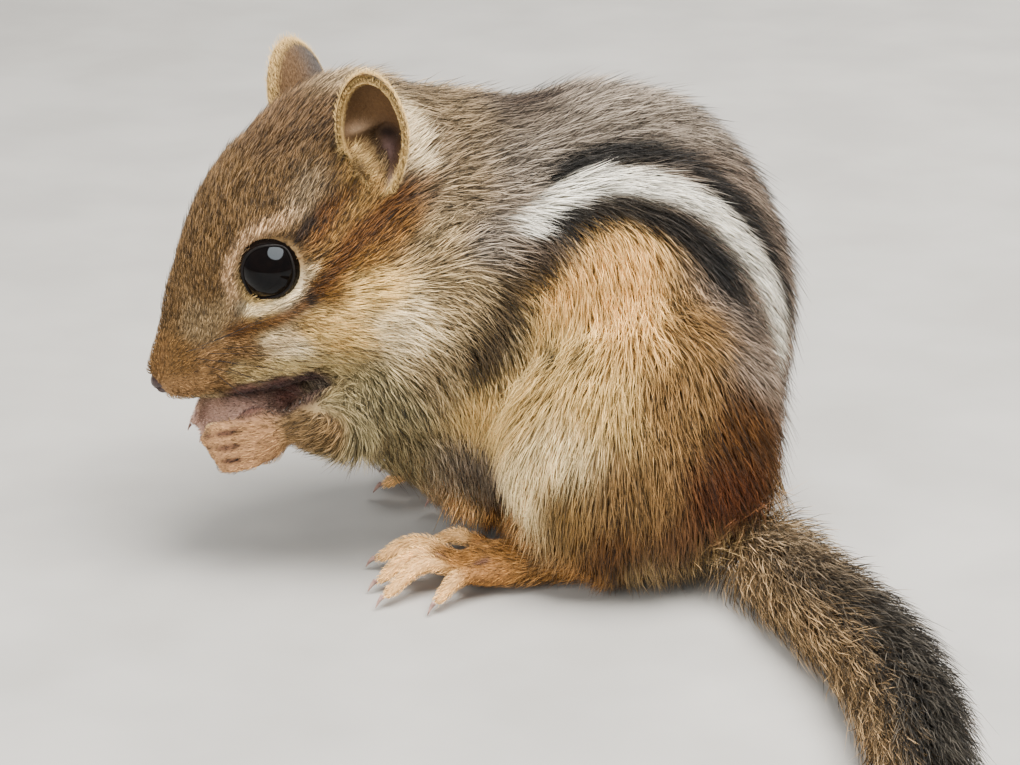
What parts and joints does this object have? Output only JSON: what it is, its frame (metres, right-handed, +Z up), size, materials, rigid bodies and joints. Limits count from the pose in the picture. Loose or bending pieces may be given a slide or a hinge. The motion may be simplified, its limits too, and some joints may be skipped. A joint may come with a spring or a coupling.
{
  "type": "chipmunk",
  "caption": "Life-size eastern chipmunk sitting on its haunches, head low, both hands held to its mouth, tail laid on the floor.",
  "frame": {"origin": "point on the floor under the seat, on the plane between the left and right halves of the trunk", "axes": "-X the way the animal faces, -Y its left side, +Z up"},
  "size_m": [0.0948, 0.1314, 0.0644],
  "materials": {
    "coat_tawny": "short tawny fur with dark and cream bands",
    "coat_russet": "very short russet fur",
    "coat_grizzled": "grizzled grey-brown fur with dark and cream stripes",
    "bare_skin": "bare pinkish skin, slightly moist",
    "eye": "wet and glossy, nearly black"
  },
  "bodies": {
    "root": {"head": "coat_tawny", "nose": "bare_skin", "ear_left": "coat_tawny", "ear_right": "coat_tawny", "eye_left": "eye", "eye_right": "eye", "neck": "coat_grizzled", "chest": "coat_grizzled", "loin": "coat_grizzled", "rump": "coat_grizzled", "thigh_left": "coat_tawny", "hind_foot_left": "coat_russet", "upper_arm_left": "coat_tawny", "forearm_left": "coat_russet", "hand_left": "bare_skin", "thigh_right": "coat_tawny", "hind_foot_right": "coat_russet", "upper_arm_right": "coat_tawny", "forearm_right": "coat_russet", "hand_right": "bare_skin", "tail_base": "coat_grizzled", "tail_middle": "coat_grizzled", "tail_end": "coat_grizzled"}
  },
  "joints": []
}
